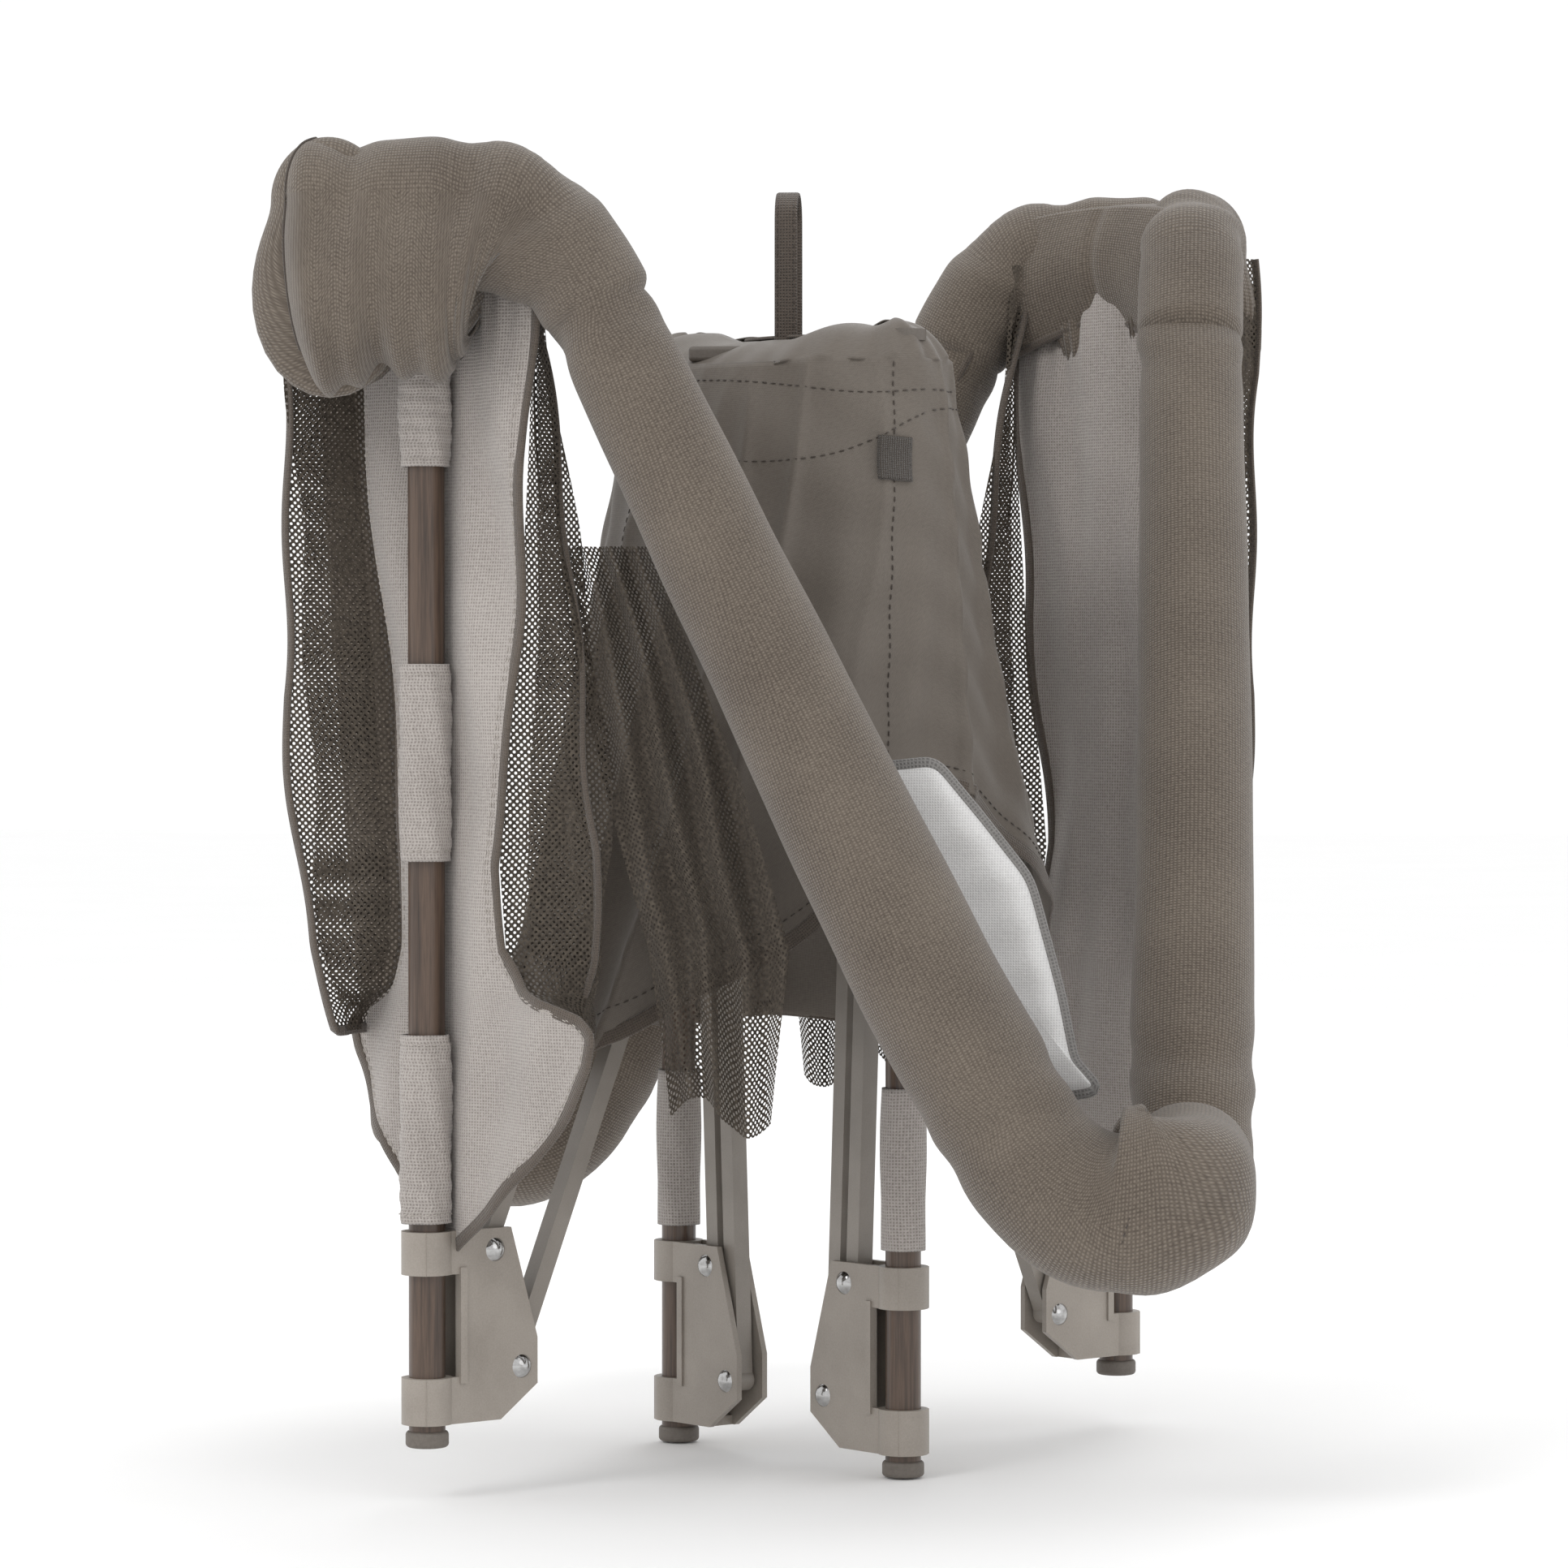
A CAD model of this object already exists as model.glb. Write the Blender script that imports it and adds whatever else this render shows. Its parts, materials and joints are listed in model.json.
import bpy
import math
import json
import numpy as np
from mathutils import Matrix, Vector
from mathutils.bvhtree import BVHTree


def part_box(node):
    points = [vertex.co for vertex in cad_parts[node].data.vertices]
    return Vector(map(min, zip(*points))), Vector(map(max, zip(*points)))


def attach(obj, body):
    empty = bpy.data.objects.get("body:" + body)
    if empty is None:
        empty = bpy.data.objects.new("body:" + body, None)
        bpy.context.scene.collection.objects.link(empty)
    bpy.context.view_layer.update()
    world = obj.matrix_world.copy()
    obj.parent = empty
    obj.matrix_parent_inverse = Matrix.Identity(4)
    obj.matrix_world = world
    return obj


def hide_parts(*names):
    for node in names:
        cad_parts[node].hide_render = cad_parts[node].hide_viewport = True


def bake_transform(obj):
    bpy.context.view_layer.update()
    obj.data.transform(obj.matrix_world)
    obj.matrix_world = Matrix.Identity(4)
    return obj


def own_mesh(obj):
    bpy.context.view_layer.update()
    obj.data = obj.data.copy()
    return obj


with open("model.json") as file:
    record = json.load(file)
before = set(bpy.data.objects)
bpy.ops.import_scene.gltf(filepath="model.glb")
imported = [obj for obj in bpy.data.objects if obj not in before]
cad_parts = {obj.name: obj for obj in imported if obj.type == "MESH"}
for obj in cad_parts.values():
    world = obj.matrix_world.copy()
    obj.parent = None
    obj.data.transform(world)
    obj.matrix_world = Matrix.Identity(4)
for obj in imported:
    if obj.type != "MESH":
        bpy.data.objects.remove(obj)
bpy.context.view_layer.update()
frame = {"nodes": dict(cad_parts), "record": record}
record = frame["record"]
joints = {j["name"]: j for j in record["behaviour"]["joints"]}


def jpos(name):
    return np.array(joints[name]["pos_m"], float)


def axis_of(node):
    # x and y of an upright node's axis, and its lowest z
    lo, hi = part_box(node)
    return (lo[0] + hi[0]) / 2, (lo[1] + hi[1]) / 2, lo[2]


# ---------------------------------------------------------------- materials (colours are 8-bit sRGB)
def new_mat(name):
    mat = bpy.data.materials.new(name)
    mat.use_nodes = True
    nodes, links = mat.node_tree.nodes, mat.node_tree.links
    return mat, nodes, links, nodes["Principled BSDF"]


def math_node(nodes, links, op, a, b=None):
    node = nodes.new("ShaderNodeMath")
    node.operation = op
    for i, v in enumerate((a, b)):
        if v is None:
            continue
        if isinstance(v, (int, float)):
            node.inputs[i].default_value = v
        else:
            links.new(v, node.inputs[i])
    return node.outputs[0]


def ramp(nodes, links, fac, stops):
    node = nodes.new("ShaderNodeValToRGB")
    links.new(fac, node.inputs["Fac"])
    els = node.color_ramp.elements
    while len(els) < len(stops):
        els.new(0.5)
    for el, (pos, col) in zip(els, stops):
        el.position = pos
        el.color = (*col, 1)
    return node.outputs["Color"]


def lin(c, gain=0.72):
    return tuple((((v / 255 + 0.055) / 1.055) ** 2.4 if v > 10 else v / 3294) * gain for v in c)


def noise_tex(nodes, links, vec, scale, detail=4.0, rough=0.55):
    node = nodes.new("ShaderNodeTexNoise")
    node.inputs["Scale"].default_value = scale
    node.inputs["Detail"].default_value = detail
    node.inputs["Roughness"].default_value = rough
    links.new(vec, node.inputs["Vector"])
    return node.outputs["Fac"]


def wave_tex(nodes, links, vec, period, direction, distort=0.0):
    node = nodes.new("ShaderNodeTexWave")
    node.bands_direction = direction
    node.inputs["Scale"].default_value = 2 * math.pi / (20 * period)
    node.inputs["Distortion"].default_value = distort
    node.inputs["Detail"].default_value = 1.0
    links.new(vec, node.inputs["Vector"])
    return node.outputs["Fac"]


def bump(nodes, links, bsdf, height, strength, distance):
    node = nodes.new("ShaderNodeBump")
    node.inputs["Strength"].default_value = strength
    node.inputs["Distance"].default_value = distance
    links.new(height, node.inputs["Height"])
    links.new(node.outputs["Normal"], bsdf.inputs["Normal"])


def fabric(name, dark, light, period=0.0022, kind="weave", strength=0.5, rough=0.92, sheen=0.25, mottling=60):
    mat, nodes, links, bsdf = new_mat(name)
    coord = nodes.new("ShaderNodeTexCoord").outputs["UV"]
    obj = nodes.new("ShaderNodeTexCoord").outputs["Object"]
    across = wave_tex(nodes, links, coord, period, "X", 0.6)
    along = wave_tex(nodes, links, coord, period * (1.0 if kind == "weave" else 0.7), "Y", 1.2)
    threads = math_node(nodes, links, "MULTIPLY" if kind == "knit" else "MAXIMUM", across, along)
    marl = noise_tex(nodes, links, coord, 420.0, 2.0, 0.7)
    broad = noise_tex(nodes, links, obj, mottling * 0.25, 3.0)
    mix = math_node(nodes, links, "MULTIPLY_ADD", threads, 0.34)
    mix.node.inputs[2].default_value = 0.0
    total = math_node(nodes, links, "ADD", mix, math_node(nodes, links, "MULTIPLY", marl, 0.46))
    total = math_node(nodes, links, "ADD", total, math_node(nodes, links, "MULTIPLY", broad, 0.26))
    colour = ramp(nodes, links, total, [(0.28, lin(dark)), (0.74, lin(light))])
    links.new(colour, bsdf.inputs["Base Color"])
    bsdf.inputs["Roughness"].default_value = rough
    bsdf.inputs["Sheen Weight"].default_value = sheen
    bsdf.inputs["Sheen Roughness"].default_value = 0.5
    height = math_node(nodes, links, "ADD", threads, math_node(nodes, links, "MULTIPLY", marl, 0.8))
    bump(nodes, links, bsdf, height, strength, 0.0012)
    return mat


def net(name, dark, light, cell=0.0030, hole=0.30):
    mat, nodes, links, bsdf = new_mat(name)
    coord = nodes.new("ShaderNodeTexCoord").outputs["UV"]
    mapping = nodes.new("ShaderNodeMapping")
    mapping.inputs["Rotation"].default_value = (0, 0, math.radians(45))
    links.new(coord, mapping.inputs["Vector"])
    cells = nodes.new("ShaderNodeTexVoronoi")
    cells.inputs["Scale"].default_value = 1 / cell
    cells.inputs["Randomness"].default_value = 0.12
    links.new(mapping.outputs["Vector"], cells.inputs["Vector"])
    solid = math_node(nodes, links, "GREATER_THAN", cells.outputs["Distance"], hole)
    links.new(solid, bsdf.inputs["Alpha"])
    marl = noise_tex(nodes, links, coord, 300.0, 2.0)
    links.new(ramp(nodes, links, marl, [(0.3, lin(dark)), (0.75, lin(light))]), bsdf.inputs["Base Color"])
    bsdf.inputs["Roughness"].default_value = 0.85
    bump(nodes, links, bsdf, cells.outputs["Distance"], 0.5, 0.001)
    return mat


def plastic(name, dark, light, rough=0.42, grain=900.0, strength=0.12):
    mat, nodes, links, bsdf = new_mat(name)
    obj = nodes.new("ShaderNodeTexCoord").outputs["Object"]
    fine = noise_tex(nodes, links, obj, grain, 2.0, 0.6)
    broad = noise_tex(nodes, links, obj, 22.0, 4.0)
    total = math_node(nodes, links, "ADD", math_node(nodes, links, "MULTIPLY", fine, 0.35),
                      math_node(nodes, links, "MULTIPLY", broad, 0.65))
    links.new(ramp(nodes, links, total, [(0.3, lin(dark)), (0.7, lin(light))]), bsdf.inputs["Base Color"])
    wear = math_node(nodes, links, "MULTIPLY_ADD", broad, 0.18)
    wear.node.inputs[2].default_value = rough - 0.08
    links.new(wear, bsdf.inputs["Roughness"])
    bump(nodes, links, bsdf, fine, strength, 0.0005)
    return mat


def metal(name, dark, light, rough=0.2, metallic=1.0, streak=260.0):
    mat, nodes, links, bsdf = new_mat(name)
    obj = nodes.new("ShaderNodeTexCoord").outputs["Object"]
    fine = noise_tex(nodes, links, obj, streak, 3.0)
    links.new(ramp(nodes, links, fine, [(0.3, lin(dark)), (0.7, lin(light))]), bsdf.inputs["Base Color"])
    bsdf.inputs["Metallic"].default_value = metallic
    haze = math_node(nodes, links, "MULTIPLY_ADD", fine, 0.16)
    haze.node.inputs[2].default_value = max(0.03, rough - 0.08)
    links.new(haze, bsdf.inputs["Roughness"])
    bump(nodes, links, bsdf, fine, 0.05, 0.0004)
    return mat


def wood(name):
    # printed walnut grain running up the tube
    mat, nodes, links, bsdf = new_mat(name)
    obj = nodes.new("ShaderNodeTexCoord").outputs["Object"]
    mapping = nodes.new("ShaderNodeMapping")
    mapping.inputs["Scale"].default_value = (1.0, 1.0, 0.035)
    links.new(obj, mapping.inputs["Vector"])
    grain = noise_tex(nodes, links, mapping.outputs["Vector"], 520.0, 6.0, 0.65)
    broad = noise_tex(nodes, links, mapping.outputs["Vector"], 110.0, 3.0, 0.5)
    total = math_node(nodes, links, "ADD", math_node(nodes, links, "MULTIPLY", grain, 0.6),
                      math_node(nodes, links, "MULTIPLY", broad, 0.4))
    stops = [(0.34, lin((52, 39, 31))), (0.47, lin((84, 66, 54))),
             (0.56, lin((104, 83, 68))), (0.68, lin((66, 50, 40)))]
    links.new(ramp(nodes, links, total, stops), bsdf.inputs["Base Color"])
    bsdf.inputs["Roughness"].default_value = 0.38
    bsdf.inputs["Coat Weight"].default_value = 0.15
    bump(nodes, links, bsdf, grain, 0.12, 0.0004)
    return mat


KNIT = fabric("knit_taupe", (92, 81, 71), (150, 138, 124), 0.0025, "knit", 0.5)
MARL = fabric("marl_grey", (136, 127, 121), (206, 198, 192), 0.0020, "weave", 0.45)
TENT = fabric("floor_taffeta", (92, 83, 75), (124, 115, 105), 0.0011, "weave", 0.18, 0.62, 0.15, 30)
PIPING = fabric("piping_tape", (74, 64, 56), (112, 101, 91), 0.0016, "weave", 0.5)
MATT = fabric("mattress_cloth", (222, 220, 220), (250, 249, 248), 0.0016, "weave", 0.3, 0.85, 0.2, 30)
EDGE = fabric("mattress_edge", (118, 116, 114), (160, 157, 154), 0.0022, "weave", 0.6)
WEBBING = fabric("webbing", (66, 57, 50), (108, 96, 86), 0.0019, "weave", 0.8)
THREAD = fabric("thread", (176, 166, 158), (212, 204, 196), 0.0012, "weave", 0.3)
THREAD_DARK = fabric("thread_dark", (58, 50, 44), (84, 74, 66), 0.0012, "weave", 0.3)
HOOK = fabric("hook_loop", (72, 64, 57), (98, 89, 80), 0.0016, "knit", 1.0)
NET = net("window_net", (62, 54, 46), (104, 94, 82))
PLASTIC = plastic("bracket_plastic", (158, 149, 139), (184, 175, 165), 0.45)
DARK_PLASTIC = plastic("fitting_plastic", (94, 87, 80), (124, 116, 108), 0.5)
HUB_PLASTIC = plastic("hub_plastic", (140, 132, 123), (166, 158, 148), 0.5)
FOOT = plastic("foot_plastic", (104, 97, 90), (134, 126, 118), 0.6, 500.0, 0.3)
BARS = plastic("bar_paint", (148, 140, 131), (172, 164, 155), 0.38, 1400.0, 0.08)
RAILS = plastic("rail_paint", (96, 88, 80), (120, 112, 104), 0.4, 1400.0, 0.08)
CHROME = metal("rivet_chrome", (186, 184, 182), (226, 226, 226), 0.16)
STEEL = metal("pin_steel", (138, 136, 134), (176, 174, 172), 0.32)
WALNUT = wood("walnut_print")

by_prefix = {
    "leg_tube": WALNUT, "foot_cap": FOOT, "foot_bracket": PLASTIC, "bracket_rivets": CHROME,
    "corner_fitting": DARK_PLASTIC, "corner_hinge_pins": STEEL, "leg_top_latch": DARK_PLASTIC,
    "lower_bar": BARS, "upper_bar": BARS, "hub_body": HUB_PLASTIC, "hub_cover": HUB_PLASTIC,
    "hub_pivot_pins": STEEL, "floor_plate": DARK_PLASTIC, "rail_tube": RAILS, "elbow_": DARK_PLASTIC,
}
for node_name, node_obj in frame["nodes"].items():
    for prefix, mat in by_prefix.items():
        if node_name.startswith(prefix):
            for s in node_obj.material_slots:
                s.material = mat


# ---------------------------------------------------------------- mesh tools
def make(name, verts, faces, mat, uvs=None, thick=0.0):
    # a smooth-shaded mesh object; uvs are per corner of each face, or per vertex
    mesh = bpy.data.meshes.new(name)
    mesh.from_pydata([tuple(map(float, v)) for v in verts], [], [tuple(map(int, f)) for f in faces])
    mesh.update()
    layer = mesh.uv_layers.new(name="UVMap")
    if uvs is not None:
        flat = np.array(uvs, float)
        index = np.array([l.vertex_index for l in mesh.loops])
        if len(flat) == len(mesh.loops):
            layer.data.foreach_set("uv", flat.ravel())
        else:
            layer.data.foreach_set("uv", flat[index].ravel())
    mesh.polygons.foreach_set("use_smooth", [True] * len(mesh.polygons))
    obj = bpy.data.objects.new(name, mesh)
    bpy.context.scene.collection.objects.link(obj)
    obj.data.materials.append(mat)
    if thick:
        mod = obj.modifiers.new("thick", "SOLIDIFY")
        mod.thickness = thick
        mod.offset = 0.0
        apply(obj)
    return obj


def apply(obj):
    bpy.context.view_layer.update()
    deps = bpy.context.evaluated_depsgraph_get()
    mesh = bpy.data.meshes.new_from_object(obj.evaluated_get(deps))
    obj.modifiers.clear()
    obj.data = mesh


def smooth_path(points, count, rounds=3):
    pts = np.array(points, float)
    for _ in range(rounds):
        out = [pts[0]]
        for a, b in zip(pts[:-1], pts[1:]):
            out += [a * 0.75 + b * 0.25, a * 0.25 + b * 0.75]
        out.append(pts[-1])
        pts = np.array(out)
    seg = np.r_[0, np.cumsum(np.linalg.norm(np.diff(pts, axis=0), axis=1))]
    want = np.linspace(0, seg[-1], count)
    return np.stack([np.interp(want, seg, pts[:, k]) for k in range(3)], 1), want


def frames_of(pts, up):
    tan = np.gradient(pts, axis=0)
    tan /= np.linalg.norm(tan, axis=1)[:, None]
    side = np.cross(tan, up)
    side /= np.linalg.norm(side, axis=1)[:, None]
    return side, np.cross(side, tan)


def crumple(s, ang, seed, amount, near=()):
    # shallow rings and dents, deeper near the given stations
    value = 0.0
    for k in range(4):
        f1, f2, ph = 14 + 9 * ((seed * 7 + k * 5) % 6), 1 + (seed + k) % 3, seed * 1.7 + k * 2.1
        value += math.sin(f1 * s + f2 * ang + ph) * math.sin(9 * s + ph) * 0.25
    gain = amount
    for at, width, extra in near:
        bell = math.exp(-((s - at) / width) ** 2)
        gain += extra * bell
        value -= 0.7 * bell * abs(math.sin(70 * (s - at) + 1.3 * math.sin(ang + seed))) ** 2
    return value * gain


def sweep(name, points, radius, mat, rings=90, seg=56, seed=1, amount=0.0012,
          near=(), cap=0.018):
    # a padded tube along points, its ends rounded over the length cap
    pts, s = smooth_path(points, rings)
    side, top = frames_of(pts, np.array([0.0, 0.0, 1.0]))
    total = s[-1]
    verts, around = [], []
    for i in range(rings):
        end = 1.0
        if s[i] < cap:
            end = math.sqrt(max(0.0004, 1 - (1 - s[i] / cap) ** 2))
        if total - s[i] < cap:
            end = min(end, math.sqrt(max(0.0004, 1 - (1 - (total - s[i]) / cap) ** 2)))
        for k in range(seg):
            ang = 2 * math.pi * k / seg
            r = (radius(s[i] / total, ang) if callable(radius) else radius)
            r = (r + crumple(s[i], ang, seed, amount, near)) * end
            p = pts[i] + side[i] * math.cos(ang) * r + top[i] * math.sin(ang) * r
            verts.append(p)
        # U is the length round this ring, from its top
        ring = np.array(verts[-seg:] + [verts[-seg]])
        run = np.concatenate([[0.0], np.cumsum(np.linalg.norm(np.diff(ring, axis=0), axis=1))])
        around.append(run - run[seg // 4])
    faces, fuv = [], []
    for i in range(rings - 1):
        for k in range(seg):
            a, b = i * seg + k, i * seg + (k + 1) % seg
            faces.append((a, b, b + seg, a + seg))
            fuv += [(around[i][k], s[i]), (around[i][k + 1], s[i]),
                    (around[i + 1][k + 1], s[i + 1]), (around[i + 1][k], s[i + 1])]
    for row, order in ((0, -1), (rings - 1, 1)):
        loop = list(range(seg))[::order]
        faces.append(tuple(row * seg + k for k in loop))
        fuv += [(around[row][k], s[row]) for k in loop]
    return make(name, verts, faces, mat, fuv)


def ribbon(name, points, width, thick, mat, normal, rings=None, rounds=2):
    # flat strap along points, its face along normal
    pts, s = smooth_path(points, rings or max(8, len(points) * 10), rounds)
    tan = np.gradient(pts, axis=0)
    tan /= np.linalg.norm(tan, axis=1)[:, None]
    normals = np.array(normal, float)
    if normals.ndim == 1:
        normals = np.tile(normals, (len(pts), 1))
    wide = np.cross(tan, normals)
    wide /= np.linalg.norm(wide, axis=1)[:, None]
    out = np.cross(wide, tan)
    prof = [(-0.5, 0.25), (-0.5, -0.25), (-0.42, -0.5), (0.42, -0.5),
            (0.5, -0.25), (0.5, 0.25), (0.42, 0.5), (-0.42, 0.5)]
    verts, uvs, faces, fuv = [], [], [], []
    for i in range(len(pts)):
        for a, b in prof:
            verts.append(pts[i] + wide[i] * a * width + out[i] * b * thick)
            uvs.append((a * width + b * thick, s[i]))
    n = len(prof)
    for i in range(len(pts) - 1):
        for k in range(n):
            q = (i * n + k, i * n + (k + 1) % n, (i + 1) * n + (k + 1) % n, (i + 1) * n + k)
            faces.append(q)
            fuv += [uvs[j] for j in q]
    for base, order in ((0, -1), ((len(pts) - 1) * n, 1)):
        loop = [base + k for k in range(n)][::order]
        faces.append(tuple(loop))
        fuv += [uvs[j] for j in loop]
    return make(name, verts, faces, mat, fuv)


def stitches(name, points, mat, length=0.0032, gap=0.0022, r=0.0005):
    # a row of small thread loops along a line
    pts, s = smooth_path(points, max(60, int(len(points) * 12)), 0 if len(points) > 12 else 2)
    total, step = s[-1], length + gap
    verts, faces = [], []
    for n in range(int(total / step)):
        a, b = n * step, n * step + length
        p = np.array([np.interp(a, s, pts[:, k]) for k in range(3)])
        q = np.array([np.interp(b, s, pts[:, k]) for k in range(3)])
        t = q - p
        if np.linalg.norm(t) < 1e-7:
            continue
        t /= np.linalg.norm(t)
        u = np.cross(t, (0.3, 0.8, 0.52))
        u /= np.linalg.norm(u)
        w = np.cross(t, u)
        base = len(verts)
        for frac, rr in ((0, 0.3), (0.25, 1), (0.75, 1), (1, 0.3)):
            for k in range(6):
                ang = math.pi * k / 3
                verts.append(p + (q - p) * frac + (u * math.cos(ang) + w * math.sin(ang)) * r * rr)
        for i in range(3):
            for k in range(6):
                x, y = base + i * 6 + k, base + i * 6 + (k + 1) % 6
                faces.append((x, y, y + 6, x + 6))
        faces.append(tuple(base + k for k in range(5, -1, -1)))
        faces.append(tuple(base + 18 + k for k in range(6)))
    return make(name, verts, faces, mat, [(v[0] + v[1], v[2]) for v in verts])


def grid(name, fn, nu, nv, mat, thick=0.0016, wrap=False):
    # a sheet from fn(u, v) in metres, with UVs measured along it
    last = nu if wrap else nu - 1
    verts = [np.array(fn(i / last, j / (nv - 1)), float) for j in range(nv) for i in range(nu)]
    arr = np.array(verts).reshape(nv, nu, 3)
    du = np.zeros((nv, nu))
    du[:, 1:] = np.cumsum(np.linalg.norm(np.diff(arr, axis=1), axis=2), axis=1)
    dv = np.zeros((nv, nu))
    dv[1:, :] = np.cumsum(np.linalg.norm(np.diff(arr, axis=0), axis=2), axis=0)
    dv = np.repeat(dv.mean(axis=1)[:, None], nu, axis=1)
    mid = du[:, nu // 2][:, None]
    faces, fuv = [], []
    for j in range(nv - 1):
        for i in range(nu if wrap else nu - 1):
            k = (i + 1) % nu
            q = (j * nu + i, j * nu + k, (j + 1) * nu + k, (j + 1) * nu + i)
            faces.append(q)
            for a, b in ((j, i), (j, k), (j + 1, k), (j + 1, i)):
                x = du[a, b] - mid[a, 0]
                if wrap and k == 0 and b == 0:
                    x = du[a, -1] + (du[a, -1] - du[a, -2]) - mid[a, 0]
                fuv.append((x, dv[a, b]))
    return make(name, verts, faces, mat, fuv, thick)


def spin(p):
    # the far half of the cot is the near half turned half round
    p = np.array(p, float)
    out = p.copy()
    out[..., 0] *= -1
    out[..., 1] *= -1
    return out


ax0, ay0, a_foot = axis_of("leg_tube_a")
rim_z = jpos("rail_ab_swing")[2]


# ---------------------------------------------------------------- camera, light, floor
camera = bpy.data.objects.new("camera", bpy.data.cameras.new("camera"))
bpy.context.scene.collection.objects.link(camera)
camera.location = (0.3237, -3.688, 0.500)
camera.rotation_euler = (math.radians(90 - 1.15), 0, math.radians(5.06))
camera.data.lens = 134.9
camera.data.sensor_width = 36
camera.data.clip_end = 60
bpy.context.scene.camera = camera

floor_mat, f_nodes, f_links, f_bsdf = new_mat("pale_floor")
f_obj = f_nodes.new("ShaderNodeTexCoord").outputs["Object"]
f_links.new(ramp(f_nodes, f_links, noise_tex(f_nodes, f_links, f_obj, 3.0),
                 [(0.3, (0.965, 0.965, 0.965)), (0.7, (0.98, 0.98, 0.98))]), f_bsdf.inputs["Base Color"])
f_bsdf.inputs["Roughness"].default_value = 0.8
R = 14.0
floor = make("studio_floor", [(-R, -R, -0.001), (R, -R, -0.001), (R, R, -0.001), (-R, R, -0.001)],
             [(0, 1, 2, 3)], floor_mat, [(0, 0), (1, 0), (1, 1), (0, 1)])

world = bpy.data.worlds.new("studio")
world.use_nodes = True
world.node_tree.nodes["Background"].inputs["Color"].default_value = (1.0, 1.0, 1.0, 1)
world.node_tree.nodes["Background"].inputs["Strength"].default_value = 1.02
bpy.context.scene.world = world
bpy.context.scene.view_settings.view_transform = "Standard"


def area_light(name, loc, size, power, target=(0, 0, 0.45)):
    data = bpy.data.lights.new(name, "AREA")
    data.shape = "DISK"
    data.size = size
    data.energy = power
    light = bpy.data.objects.new(name, data)
    light.location = loc
    light.rotation_euler = (Vector(target) - Vector(loc)).to_track_quat("-Z", "Y").to_euler()
    bpy.context.scene.collection.objects.link(light)


area_light("key", (-1.9, -2.6, 2.9), 1.4, 30)
area_light("fill", (2.4, -2.2, 1.5), 2.2, 8)
area_light("back", (0.6, 2.6, 2.4), 2.0, 14)


def on(piece, body):
    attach(piece, body)
    return piece


# ---------------------------------------------------------------- rim pads
h_ab, h_ca = jpos("rail_ab_swing"), jpos("rail_ca_swing")
h_bd, e_b = jpos("rail_bd_swing"), jpos("elbow_b_swing")
PAD = 0.031
dir_ab = (e_b - h_ab) / np.linalg.norm(e_b - h_ab)
RAIL = float(np.linalg.norm(e_b - h_ab))
drop = np.array([0.0, math.hypot(dir_ab[0], dir_ab[1]), dir_ab[2]])
corner_b = e_b + np.array([0.065, 0, 0])
pivot_bd = corner_b + np.array([0, 0.075, 0])
up_bd = (h_bd - pivot_bd) / np.linalg.norm(h_bd - pivot_bd)


def both(build):
    # the near half as built, then the far half turned round; every builder takes the same names
    for turned, names in ((False, ("a", "b", "ab", "ca", "bd")), (True, ("d", "c", "dc", "bd", "ca"))):
        build((lambda p: spin(p)) if turned else (lambda p: np.array(p, float)), *names)


def cover_radius(t, ang):
    # wider towards the elbow, where the cover also fills the inner corner
    r = PAD + 0.0015 + 0.0105 * math.sin(min(1.0, t / 0.80) * math.pi / 2) ** 1.5
    bell = math.exp(-((t - 0.868) / 0.055) ** 2)
    tail = max(0.0, (t - 0.91) / 0.09)
    return (r - 0.0085 * tail ** 1.3) * (1 + 0.62 * bell * max(0.0, math.sin(ang)) ** 1.6)


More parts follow.
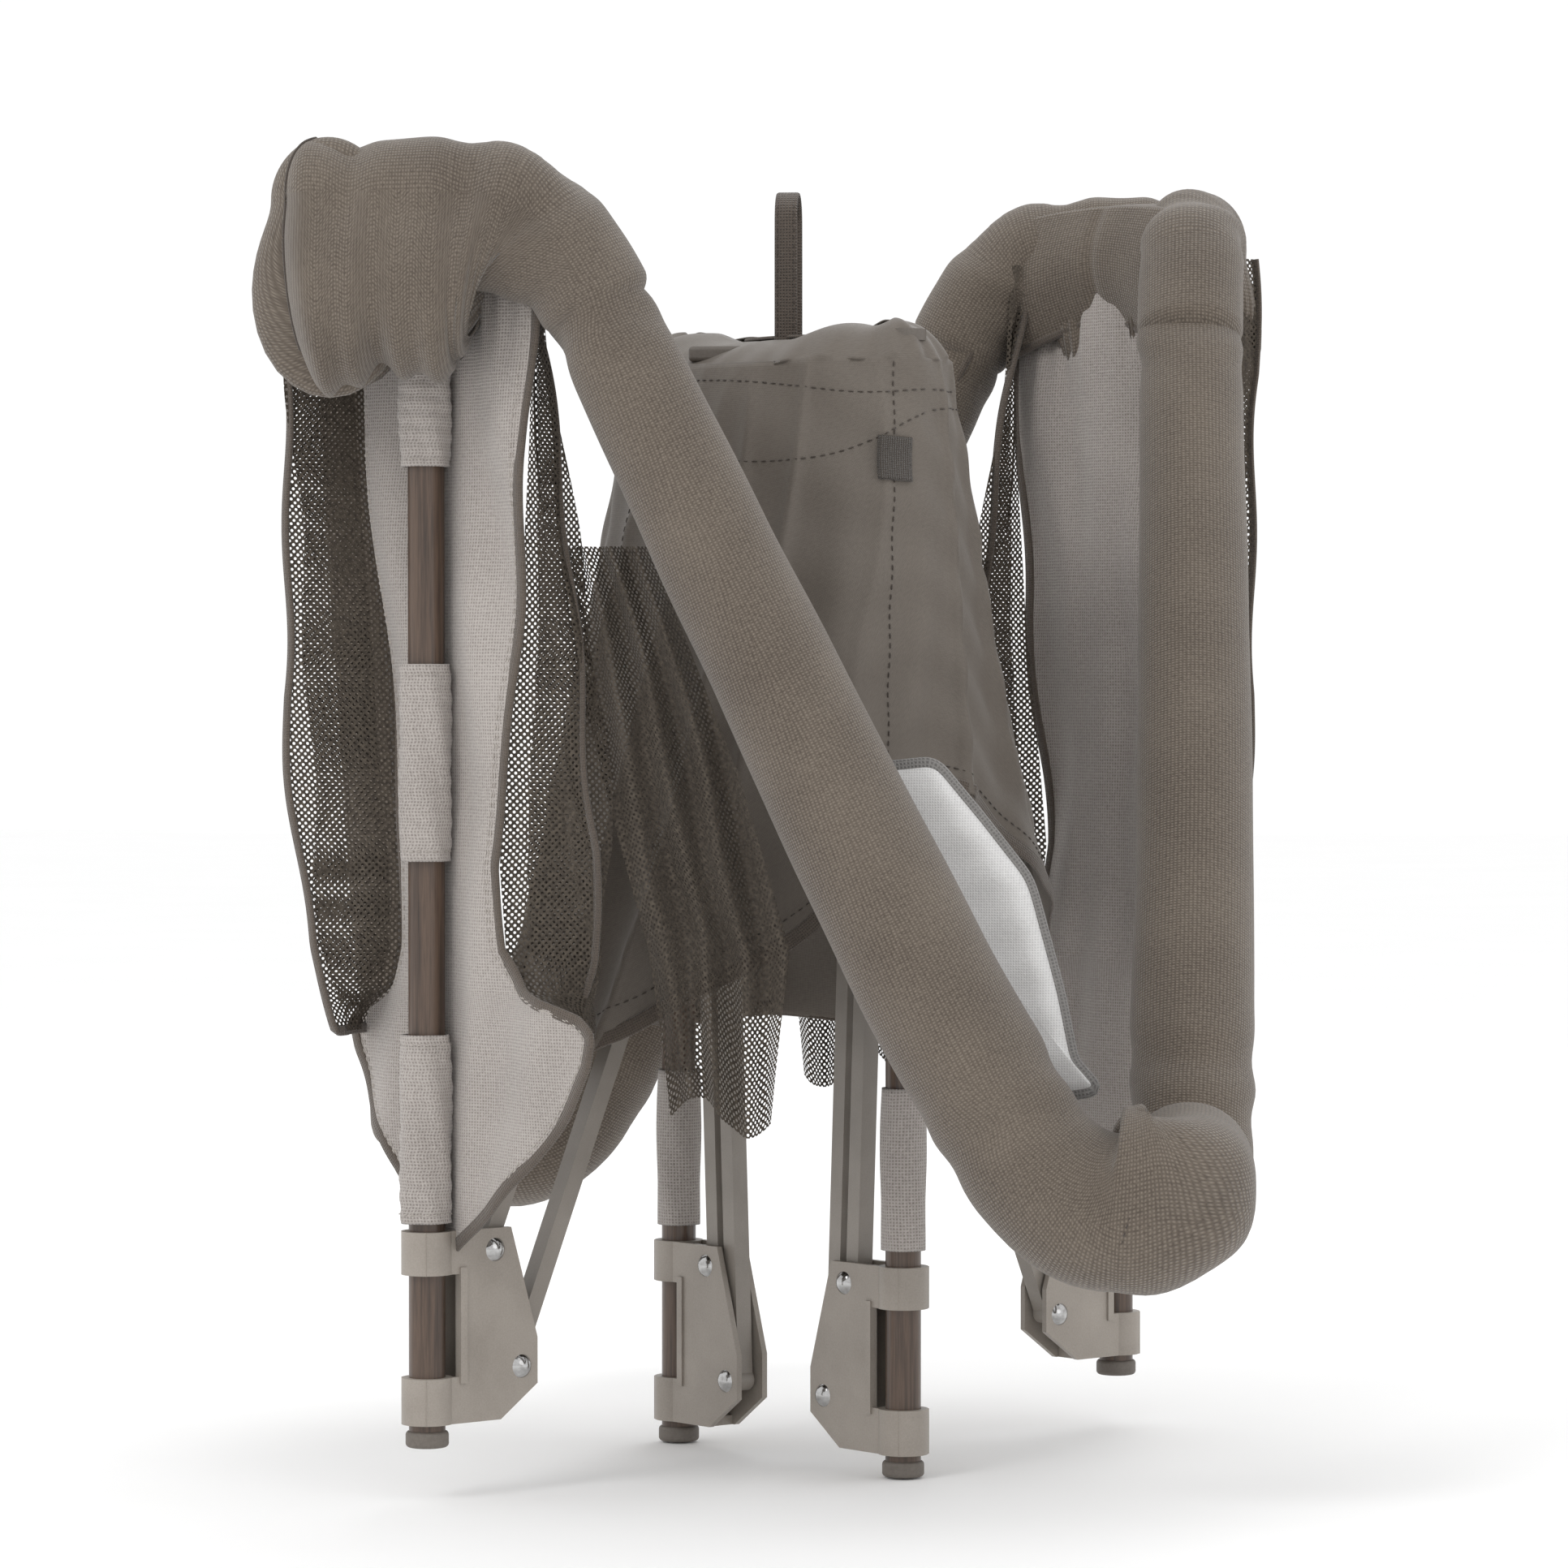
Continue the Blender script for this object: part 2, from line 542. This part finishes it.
def rim(place, high, low, long_rail, short_rail, other):
    # long rail pad, running round the dropping elbow
    start = h_ab + dir_ab * 0.046
    path = [start, h_ab + dir_ab * 0.20 + [-0.004, 0, -0.002], h_ab + dir_ab * 0.42 + [-0.012, 0, -0.006],
            h_ab + dir_ab * (RAIL - 0.09) + [-0.013, 0, -0.008], e_b + [0.000, 0, -0.016],
            corner_b + [-0.010, -0.001, -0.020], corner_b + [0.006, 0.012, -0.010],
            corner_b + [0.006, 0.060, 0.012], pivot_bd + up_bd * 0.010]
    pad = sweep("pad_" + long_rail, place(path), cover_radius, KNIT,
                        rings=190, seed=2 if high == "a" else 5, amount=0.0013,
                        near=((0.03, 0.03, 0.004), (RAIL - 0.10, 0.035, 0.0032), (RAIL + 0.02, 0.04, 0.0045)))
    tuple(place(e_b - dir_ab * 0.055))
    tuple(place(e_b + dir_ab * 0.02))
    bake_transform(pad)
    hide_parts("rail_pad_" + long_rail, "elbow_pad_" + low)
    # the rail that comes down to the elbow from the other high corner
    top = h_bd - up_bd * 0.050
    path = [top, pivot_bd + up_bd * 0.3 + [0.006, 0, 0], pivot_bd + up_bd * 0.10 + [0.007, 0, 0],
            pivot_bd + up_bd * 0.012 + [0.005, 0, 0], pivot_bd - up_bd * 0.012 + [0.005, 0, 0]]
    pad2 = sweep("pad_" + other, place(path), lambda t, a: PAD + 0.0015 + 0.006 * t, KNIT, rings=130,
                       seed=3 if high == "a" else 8, amount=0.0013,
                       near=((0.03, 0.03, 0.004), (RAIL - 0.11, 0.04, 0.0036)))
    on(pad2, "rail_" + other)
    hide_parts("rail_pad_" + other)
    # piping along the inner edge of the rail covers
    line = [h_ab + dir_ab * q + np.cross(dir_ab, (0, 1, 0)) * -0.012 + np.array([0, PAD * 0.93, 0]) for q in
            (0.06, 0.2, 0.4, RAIL - 0.07)]
    pipe = sweep("piping_" + long_rail, place(line), 0.0022, PIPING, rings=70, seg=8, amount=0.0, cap=0.003)
    on(pipe, "rail_" + long_rail)
    # the seam where the two covers meet below the elbow
    ring = []
    for k in range(26):
        ang = 2 * math.pi * k / 25
        around = np.array([0.30 * math.sin(ang), math.cos(ang), math.sin(ang)])
        ring.append(corner_b + np.array([-0.028, -0.001, -0.017]) + around * (PAD + 0.0098))
    seam = stitches("seam_" + low, place(ring), THREAD_DARK, 0.003, 0.002, 0.0005)
    on(seam, "elbow_" + low)


both(rim)


# ---------------------------------------------------------------- padded hoods on the high corners
corner_a = np.array([h_ca[0], h_ab[1], rim_z])
COLLAR_R = 0.0136


def hood_radius(seed):
    def fn(t, ang):
        # deeper below, with a soft skirt
        low = max(0.0, -math.sin(ang))
        reach = (2.45 - 0.9 * t) * (1.0 if t < 0.52 else max(0.0, 1 - (t - 0.52) / 0.34))
        pleat = 1 + 0.06 * math.sin(26 * t + seed) * low ** 2 + 0.05 * math.sin(61 * t + 2 * seed) * low ** 4
        return (PAD + 0.003) * (1 + max(0.0, reach) * low ** 3.0 * pleat)
    return fn


def hoods(place, high, low, long_rail, short_rail, other):
    seed = 4 if high == "a" else 9
    path = [corner_a + [-0.026, 0, 0.001], corner_a + [0.03, 0, 0.002], h_ab + [-0.010, 0, 0.001],
            h_ab + dir_ab * 0.04, h_ab + dir_ab * 0.085]
    long_hood = sweep("hood_" + long_rail, place(path), hood_radius(seed), KNIT, rings=110, seg=64,
                      seed=seed, amount=0.0016,
                      near=((0.045, 0.02, 0.005), (0.115, 0.03, 0.006), (0.16, 0.02, 0.004)))
    tuple(place(h_ab + [-0.03, 0, 0]))
    tuple(place(h_ab + dir_ab * 0.03))
    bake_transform(long_hood)
    path = [corner_a + [0, -0.024, 0.001], corner_a + [0, 0.03, 0.002], h_ca + [0, -0.010, 0.001],
            h_ca + drop * 0.04, h_ca + drop * 0.085]
    short_hood = sweep("hood_" + short_rail, place(path), hood_radius(seed), KNIT, rings=110, seg=64,
                       seed=seed + 1, amount=0.0016, near=((0.05, 0.02, 0.005), (0.12, 0.03, 0.006)))
    tuple(place(h_ca + [0, -0.03, 0]))
    tuple(place(h_ca + drop * 0.03))
    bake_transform(short_hood)
    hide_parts("hood_pad_" + high)
    # mitre seam across the corner, laid on the two hoods
    trees = [BVHTree.FromPolygons([v.co for v in hood.data.vertices],
                                  [tuple(f.vertices) for f in hood.data.polygons])
             for hood in (long_hood, short_hood)]
    middle = Vector(place(corner_a + [0.004, 0.004, -0.012]))
    diagonal = Vector(place(np.array([1.0, 1.0, 0.0]))) / math.sqrt(2)
    line = []
    for k in range(40):
        ang = math.radians(74 - 146 * k / 39)
        out = Vector((0, 0, math.sin(ang))) - diagonal * math.cos(ang)
        hits = [t.ray_cast(middle + out * 0.3, -out)[0] for t in trees]
        hits = [h for h in hits if h is not None]
        if hits:
            line.append(np.array(max(hits, key=lambda h: (h - middle).length)))
    groove = sweep("hood_seam_" + high, line, 0.0012, THREAD_DARK, rings=90, seg=8, amount=0.0, cap=0.002)
    on(groove, "leg_" + high)
    # short strap that gathers the hood round the tube
    collar = []
    for k in range(25):
        ang = 2 * math.pi * k / 24
        collar.append((ax0 + COLLAR_R * math.cos(ang), ay0 + COLLAR_R * math.sin(ang), rim_z - 0.062))
    turns = [2 * math.pi * k / 99 for k in range(100)]
    band = ribbon("hood_band_" + high, place(collar), 0.020, 0.0016, PIPING,
                  [place((math.cos(t), math.sin(t), 0)) for t in turns], 100)
    on(band, "leg_" + high)


both(hoods)


def corner_cap(place, high, low, long_rail, short_rail, other):
    # the cover inside the high corner: over the top of the pads, down in front of the tube, to a piped edge
    ends = (h_ab + [0.002, 0.006, 0], h_ca + [0.006, 0.002, 0])
    back = corner_a + [0.006, 0.006, PAD - 0.003]

    def cap_point(u, v):
        chord = ends[0] * (1 - u) + ends[1] * u
        outward = math.sin(math.pi * u) ** 1.3
        front = chord - np.array([0.7, 0.7, 0]) * 0.010 * outward
        crease = 0.0022 * math.exp(-((u - 0.5) / 0.03) ** 2) + 0.0016 * math.sin(9 * u + 3 * v) * v
        if v < 0.3:
            q = v / 0.3
            top = front + [0, 0, PAD - 0.006 - 0.008 * (2 * u - 1) ** 2]
            p = back * (1 - q) + top * q
            p = p + np.array([0, 0, 0.002 * math.sin(math.pi * q)])
        else:
            q = (v - 0.3) / 0.7
            depth = 0.070 + 0.020 * abs(u - 0.5) * 2
            p = front + np.array([0.7, 0.7, 0]) * (0.012 * math.sin(math.pi * q) - crease)
            p[2] += PAD - 0.006 - 0.008 * (2 * u - 1) ** 2 - depth * q
        return p

    cap = grid("hood_inside_" + high, lambda a, b: place(cap_point(a, b)), 70, 70, KNIT, 0.003)
    on(cap, "leg_" + high)
    edge = [cap_point(0.02 + 0.96 * k / 14, 1.0) for k in range(15)]
    pipe = sweep("hood_piping_" + high, place(edge), 0.0030, PIPING, rings=70, seg=10, amount=0.0, cap=0.003)
    on(pipe, "leg_" + high)


both(corner_cap)


# ---------------------------------------------------------------- corner panels, sleeves and mesh windows
OUT_Z = [0.118, 0.145, 0.175, 0.205, 0.235, 0.252, 0.262, 0.275, 0.30, 0.35, 0.40, 0.50, 0.60, 0.70, 0.74]
OUT_R = [0.006, 0.050, 0.085, 0.115, 0.138, 0.140, 0.125, 0.080, 0.060, 0.054, 0.060, 0.074, 0.082, 0.086, 0.088]
OUT_L = [0.006, 0.030, 0.050, 0.070, 0.085, 0.088, 0.080, 0.055, 0.042, 0.040, 0.048, 0.064, 0.078, 0.086, 0.088]

# heights above the foot, in metres
PANEL_LOW, PANEL_RISE = 0.118, 0.602
NET_LOW, NET_RISE = 0.248, 0.487
SLEEVE_R = 0.0128


def outline(z, side=1):
    # width of the woven panel each side of the tube, at a height above the foot
    return float(np.interp(z, OUT_Z, OUT_R if side > 0 else OUT_L))


def panel(place, high, low, long_rail, short_rail, other):
    u = np.array([-1, -1, 0]) / math.sqrt(2)
    v = np.array([1, -1, 0]) / math.sqrt(2)
    base = np.array([ax0, ay0, a_foot - 0.010])
    seed = 1.3 if high == "a" else 4.1

    def sheet_point(a, b):
        z = PANEL_LOW + PANEL_RISE * b
        x = (a - 0.5) * 2 * outline(z, 1 if a > 0.5 else -1)
        near = math.exp(-(x / 0.020) ** 2)
        fold = 0.0032 * math.sin(x * 95 + 3 * math.sin(z * 9 + seed)) * min(1.0, abs(x) / 0.03)
        fold += 0.0022 * math.sin(z * 38 + x * 30 + seed)
        gather = 0.0016 * math.sin(x * 420 + seed) * math.exp(-((z - 0.715) / 0.05) ** 2)
        out = -0.0150 * near + (fold + gather - 0.0105) * (1 - near) - 0.10 * max(0.0, abs(x) - 0.02) ** 1.5
        return base + u * out + v * x + np.array([0, 0, z])

    sheet = grid("panel_" + high, lambda a, b: place(sheet_point(a, b)), 80, 220, MARL, 0.0016)
    on(sheet, "leg_" + high)
    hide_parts("corner_panel_" + high)
    for side in (-1, 1):
        for inset in (0.0045, 0.0065):
            line = []
            for b in np.linspace(0.06, 0.99, 130):
                share = inset / (2 * outline(PANEL_LOW + PANEL_RISE * b, side) + 1e-6)
                line.append(place(sheet_point(0.5 + side * (0.5 - share), b) + u * 0.0011))
            row = stitches("hem_%s_%d_%d" % (high, side + 1, int(inset * 1e4)), line, THREAD,
                           0.0032, 0.0026, 0.00042)
            on(row, "leg_" + high)
        edge = [place(sheet_point(0.5 + side * 0.4999, b)) for b in np.linspace(0.0, 1.0, 140)]
        tape = ribbon("binding_%s_%d" % (high, side + 1), edge, 0.0075, 0.0026, PIPING, place(u), 150, 0)
        on(tape, "leg_" + high)
    # sleeves that hold the panel to the tube
    for n, (z0, z1) in enumerate(((0.588, 0.675), (0.352, 0.470), (0.135, 0.248))):
        def sleeve_point(a, b, z0=z0, z1=z1, n=n):
            ang = 2 * math.pi * a
            z = z0 + (z1 - z0) * b
            puff = 0.0010 * math.sin(b * math.pi) + 0.0006 * math.sin(5 * ang + 9 * b + n)
            puff += 0.0004 * math.sin(60 * b + ang)
            r = SLEEVE_R + puff + 0.003 * max(0.0, math.cos(ang)) ** 6
            return base + u * (math.cos(ang) * r) + v * (math.sin(ang) * r * 1.12) + np.array([0, 0, z])
        tube = grid("sleeve_%s_%d" % (high, n), lambda a, b: place(sleeve_point(a, b)), 44, 40, MARL,
                    0.0014, wrap=True)
        on(tube, "leg_" + high)
        for b in (0.05, 0.95):
            middle = base + np.array([0, 0, z0 + (z1 - z0) * b])
            on_sleeve = [sleeve_point(a, b) for a in np.linspace(0, 1, 30)]
            ring = [place(p + (p - middle) * 0.09) for p in on_sleeve]
            row = stitches("sleeve_hem_%s_%d_%d" % (high, n, int(b * 100)), ring, THREAD,
                           0.0028, 0.002, 0.0004)
            on(row, "leg_" + high)


both(panel)


def window(place, high, low, long_rail, short_rail, other):
    # gathered net beside the panel, rounded at the bottom, hanging under each rail
    base = np.array([ax0, ay0, a_foot - 0.010])
    u = np.array([-1, -1, 0]) / math.sqrt(2)
    v = np.array([1, -1, 0]) / math.sqrt(2)
    for side, rail in ((1, long_rail), (-1, short_rail)):
        def net_point(a, b, side=side, layer=0.0):
            z = NET_LOW + NET_RISE * b
            inner = outline(z, side) - 0.004
            ripple = 0.005 * a * math.sin(a * 9 + z * 14 + layer)
            ripple += 0.003 * a * math.sin(z * 41 + a * 4 + 2 * layer)
            start = v * (side * inner) + u * (-0.0165 - 0.10 * max(0.0, inner - 0.02) ** 1.5)
            if side > 0:
                far = np.interp(z, [0.248, 0.29, 0.36, 0.62, 0.74], [0.092, 0.104, 0.108, 0.074, 0.060])
                stop = np.array([far, -0.020 + 0.12 * (0.74 - z) * 0.1, 0.0])
            else:
                far = np.interp(z, [0.248, 0.30, 0.45, 0.66, 0.74], [0.058, 0.072, 0.088, 0.094, 0.088])
                stop = np.array([-far, 0.026, 0.0])
            flat = start * (1 - a) + stop * a
            return base + flat + u * (ripple - layer * 0.006 * a) + np.array([0, 0, z])

        sheet = grid("window_" + rail, lambda a, b: place(net_point(a, b)), 34, 150, NET, 0.0)
        on(sheet, "leg_" + high)
        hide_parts("mesh_wall_" + rail)
        lining = grid("window_lining_" + rail, lambda a, b: place(net_point(0.25 + 0.75 * a, b, side, 1.5)),
                      30, 150, NET, 0.0)
        on(lining, "leg_" + high)
        rim_line = [place(net_point(1.0, b)) for b in np.linspace(1.0, 0.0, 90)]
        rim_line += [place(net_point(a, 0.0)) for a in np.linspace(0.9, 0.0, 12)]
        tape = ribbon("window_tape_" + rail, rim_line, 0.006, 0.0022, PIPING, place(u), 170, 0)
        on(tape, "leg_" + high)


both(window)


def bunched(place, high, low, long_rail, short_rail, other):
    # the long wall's net hangs in folds behind its rail
    def point(a, b):
        z = a_foot + 0.190 + 0.340 * b
        left = np.interp(b, [0, 0.3, 0.6, 1], [-0.052, -0.066, -0.094, -0.118])
        right = np.interp(b, [0, 0.3, 0.6, 1], [0.008, 0.020, -0.010, -0.066])
        x = left + (right - left) * a
        y = -0.212 + 0.006 * math.sin(a * 22 + 2 * math.sin(b * 5)) + 0.003 * math.sin(a * 9 + b * 12)
        return np.array([x, y, z + 0.012 * math.sin(a * 6) * (1 - b)])
    sheet = grid("wall_folds_" + long_rail, lambda a, b: place(point(a, b)), 90, 120, NET, 0.0)
    # the folds stay with the high leg, and gather against it as the cot opens
    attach(sheet, "leg_" + high)
    tuple(place((-0.128, -0.212, 0.4)))
    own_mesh(sheet)


both(bunched)


# ---------------------------------------------------------------- floor fabric gathered under the strap
b_dir = np.array([1, -1, 0]) / math.sqrt(2)
a_dir = np.array([-1, -1, 0]) / math.sqrt(2)
plate_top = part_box("floor_plate")[1][2]
TENT_TOP = plate_top + 0.012


def lie_flat(piece):
    # what hangs from the lift plate collects under it as the hub comes up
    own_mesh(piece)


def hem_height(ang):
    # ang is measured from the direction of leg B, towards leg A
    front = math.exp(-((ang + 0.15) / 0.75) ** 2) + math.exp(-((ang + 0.15 - 2 * math.pi) / 0.75) ** 2)
    return 0.275 + 0.150 * front + 0.010 * math.sin(3 * ang) + 0.006 * math.sin(7 * ang + 1)


def tent_point(a, b):
    ang = 2 * math.pi * a
    ca, sa = math.cos(ang), math.sin(ang)
    hem = hem_height(ang)
    if b < 0.16:
        t = b / 0.16
        rise = TENT_TOP - 0.011 * (1 - abs(ca)) ** 1.5 + 0.002 * math.sin(9 * ang)
        reach_b, reach_a = 0.104 + 0.024 * t ** 0.8, 0.004 + 0.066 * t ** 0.75
        fold = 0.0016 * math.sin(26 * ang) * t
        z = rise - 0.022 * t ** 2.2
    else:
        t = (b - 0.16) / 0.84
        z = TENT_TOP - 0.022 - (TENT_TOP - 0.022 - hem) * t
        depth = (TENT_TOP - 0.022 - z) / 0.42
        reach_b = 0.128 + 0.026 * depth
        reach_a = 0.070 + 0.120 * depth ** 1.1
        fold = 0.0
        for n, (k, ph, w) in enumerate(((7, 0.4, 1.0), (11, 2.2, 0.7), (16, 4.0, 0.45), (5, 1.0, 0.8))):
            drift = 0.9 * math.sin(3 * t + n) + 0.3 * math.sin(8 * t + 2 * n)
            fold += w * math.sin(k * ang + ph + drift)
        fold = (1 - abs(math.tanh(fold * 0.9)) * 1.25) * (0.0022 + 0.0095 * depth ** 0.7)
        fold += 0.0010 * math.sin(40 * t + 9 * ang)
    p = b_dir * ca * reach_b + a_dir * sa * reach_a
    radial = p / (np.linalg.norm(p) + 1e-9)
    p = p + radial * fold
    p[2] = z
    return p


tent = grid("floor_tent_fabric", tent_point, 300, 170, TENT, 0.0010, wrap=True)
on(tent, "lift")
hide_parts("floor_tent")
lie_flat(tent)


def tent_line(name, b_of, a0, a1, mat, lift=0.0009, count=160, kind="stitch", width=0.012):
    line = []
    for a in np.linspace(a0, a1, count):
        p = tent_point(a % 1.0, b_of(a))
        out = np.array([p[0], p[1], 0.0])
        line.append(p + out / (np.linalg.norm(out) + 1e-9) * lift)
    if kind == "stitch":
        piece = stitches(name, line, mat, 0.0036, 0.0024, 0.0005)
    else:
        normals = [np.array([p[0], p[1], 0.001]) / np.linalg.norm([p[0], p[1], 0.001]) for p in line]
        piece = ribbon(name, line, width, 0.0018, mat, normals, count, 0)
    on(piece, "lift")
    lie_flat(piece)
    return piece


tent_line("tent_hem_low", lambda a: 0.992, 0.0, 0.999, PIPING, kind="tape", width=0.010)
tent_line("tent_hem_stitch", lambda a: 0.955, 0.0, 0.999, THREAD_DARK)
tent_line("tent_top_stitch", lambda a: 0.27 + 0.03 * math.sin(4 * math.pi * a), 0.0, 0.999, THREAD_DARK)
tent_line("tent_peak_stitch", lambda a: 0.205 + 0.02 * math.cos(4 * math.pi * a), 0.0, 0.999, THREAD_DARK)
for n, a in enumerate((0.045, 0.30, 0.62, 0.83)):
    line = []
    for b in np.linspace(0.17, 0.97, 90):
        p = tent_point(a, b)
        line.append(p + np.array([p[0], p[1], 0]) / np.linalg.norm(p[:2]) * 0.001)
    seam = stitches("tent_seam_%d" % n, line, THREAD_DARK, 0.0036, 0.0024, 0.0005)
    on(seam, "lift")
    lie_flat(seam)

# hook-and-loop patch high on the near side
patch_pts = []
for b in np.linspace(0.30, 0.375, 8):
    p = tent_point(0.045, b)
    patch_pts.append(p + np.array([p[0], p[1], 0]) / np.linalg.norm(p[:2]) * 0.0022)
patch = ribbon("tent_patch", patch_pts, 0.024, 0.0022, HOOK, patch_pts[0] * [1, 1, 0], 20, 0)
on(patch, "lift")
lie_flat(patch)


# ---------------------------------------------------------------- pull strap and lifting webbing
lo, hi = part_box("pull_strap")
half, foot_z, head_z = (hi[1] - lo[1]) / 2 - 0.00125, lo[2] + 0.001, hi[2] - 0.00125
arc = [(0, -half, foot_z), (0, -half, head_z - 0.02)]
arc += [(0, -half * math.cos(t), head_z - 0.017 + 0.017 * math.sin(t))
        for t in np.linspace(0.35, math.pi - 0.35, 9)]
arc += [(0, half, head_z - 0.02), (0, half, foot_z)]
spts, _ = smooth_path(arc, 120, 2)
tang = np.gradient(spts, axis=0)
snorm = [np.cross(t, (1, 0, 0)) for t in tang]
strap = ribbon("strap_webbing", spts, 0.014, 0.0024, WEBBING, snorm, 120, 0)
on(strap, "lift")
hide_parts("pull_strap")
for side in (-1, 1):
    line = [p + np.array([side * 0.0052, -np.sign(-p[1]) * 0.0014, 0]) for p in spts[3:-3]]
    row = stitches("strap_stitch_%d" % (side + 1), line, THREAD_DARK, 0.003, 0.002, 0.0004)
    on(row, "lift")
grommet = []
for k in range(40):
    t = 2 * math.pi * k / 39
    p = b_dir * math.cos(t) * 0.034 + a_dir * math.sin(t) * 0.011
    grommet.append(p + np.array([0, 0, TENT_TOP - 0.006]))
slit = ribbon("strap_slit_binding", grommet, 0.009, 0.002, PIPING, (0, 0, 1), 90, 0)
on(slit, "lift")
lo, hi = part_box("lift_webbing")
band_line = [(0, 0, z) for z in (lo[2] + 0.0005, (lo[2] + hi[2]) / 2, hi[2] - 0.0005)]
web = ribbon("lift_band", band_line, 0.024, 0.0024, WEBBING, (0, 1, 0), 30)
on(web, "lift")
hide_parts("lift_webbing")
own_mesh(web)


# ---------------------------------------------------------------- padded mattress corner
m_lo, m_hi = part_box("mattress")
m_y = (m_lo[1] + m_hi[1]) / 2
m_out = [(0.066, 0.438), (0.104, 0.442), (0.132, 0.408), (0.160, 0.372), (0.178, 0.305),
         (0.186, 0.265), (0.201, 0.248), (0.150, 0.241), (0.092, 0.262), (0.062, 0.330)]


def mattress_outline():
    # the corner's outline in x and z, with its corners rounded
    n = len(m_out)
    per = []
    for i in range(n):
        (x0, z0), (x1, z1) = m_out[i], m_out[(i + 1) % n]
        for k in range(14):
            per.append((x0 + (x1 - x0) * k / 14, z0 + (z1 - z0) * k / 14))
    per = np.array(per)
    for _ in range(5):
        per = (np.roll(per, 1, 0) + per * 2 + np.roll(per, -1, 0)) / 4
    return per


per = mattress_outline()
m_cx, m_cz, m_rows = 0.128, 0.335, 26
verts, uvs = [], []
count = len(per)
for side in (-1, 1):
    for j in range(m_rows + 1):
        t = j / m_rows
        for x, z in per:
            px, pz = m_cx + (x - m_cx) * t, m_cz + (z - m_cz) * t
            edge = 1 - t
            puff = 0.0098 * (1 - (1 - min(1.0, edge * 3.2)) ** 2) ** 0.5
            line = abs((px - 0.062) * 0.80 - (0.440 - pz) * 0.36)
            puff -= 0.0062 * math.exp(-(line / 0.0045) ** 2) * min(1.0, edge * 5)
            puff += 0.0011 * math.sin(px * 130 + pz * 70) * edge
            puff += 0.0008 * math.sin(pz * 210 - px * 60) * min(1, edge * 4)
            bend = 0.004 * math.sin((pz - 0.24) * 15)
            verts.append((px, m_y + bend + side * max(0.0, puff), pz))
            uvs.append((px, pz))
faces = []
block = (m_rows + 1) * count
for s in (0, 1):
    for j in range(m_rows):
        for k in range(count):
            a, b = s * block + j * count + k, s * block + j * count + (k + 1) % count
            q = (a, b, b + count, a + count)
            faces.append(q if s else q[::-1])
pad = make("mattress_corner", verts, faces, MATT, None)
loop_uv = np.array([uvs[l.vertex_index] for l in pad.data.loops], float)
pad.data.uv_layers[0].data.foreach_set("uv", loop_uv.ravel())
on(pad, "lift")
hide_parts("mattress")
lie_flat(pad)
tape_line = [(x, m_y + 0.004 * math.sin((z - 0.24) * 15), z) for x, z in list(per) + [per[0]]]
edge = ribbon("mattress_tape", tape_line, 0.009, 0.0035, EDGE, (0, 1, 0), 260, 0)
quilt = []
for t in np.linspace(0.02, 0.98, 60):
    x = 0.066 + 0.090 * t
    z = 0.440 - (x - 0.062) * 0.80 / 0.36
    if z < 0.252:
        break
    quilt.append((x, m_y - 0.0048 + 0.004 * math.sin((z - 0.24) * 15), z))
rows = stitches("mattress_stitch", quilt, THREAD, 0.0032, 0.0022, 0.0005)
for piece in (edge, rows):
    on(piece, "lift")
    lie_flat(piece)


# ---------------------------------------------------------------- fabric sleeves on the inner legs
for name in "bc":
    lx, ly, _ = axis_of("leg_tube_" + name)
    for n, (z0, z1) in enumerate(((0.560, 0.645), (0.340, 0.460), (0.140, 0.240))):
        def ring_point(a, b, z0=z0, z1=z1, n=n, lx=lx, ly=ly):
            ang = 2 * math.pi * a
            r = SLEEVE_R + 0.0008 * math.sin(b * math.pi) + 0.0004 * math.sin(4 * ang + 8 * b + n)
            return (lx + math.cos(ang) * r, ly + math.sin(ang) * r, z0 + (z1 - z0) * b)
        tube = grid("inner_sleeve_%s_%d" % (name, n), ring_point, 40, 30, MARL, 0.0014, wrap=True)
        on(tube, "leg_" + name)
        if n == 0:
            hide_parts("tube_sleeves_" + name)
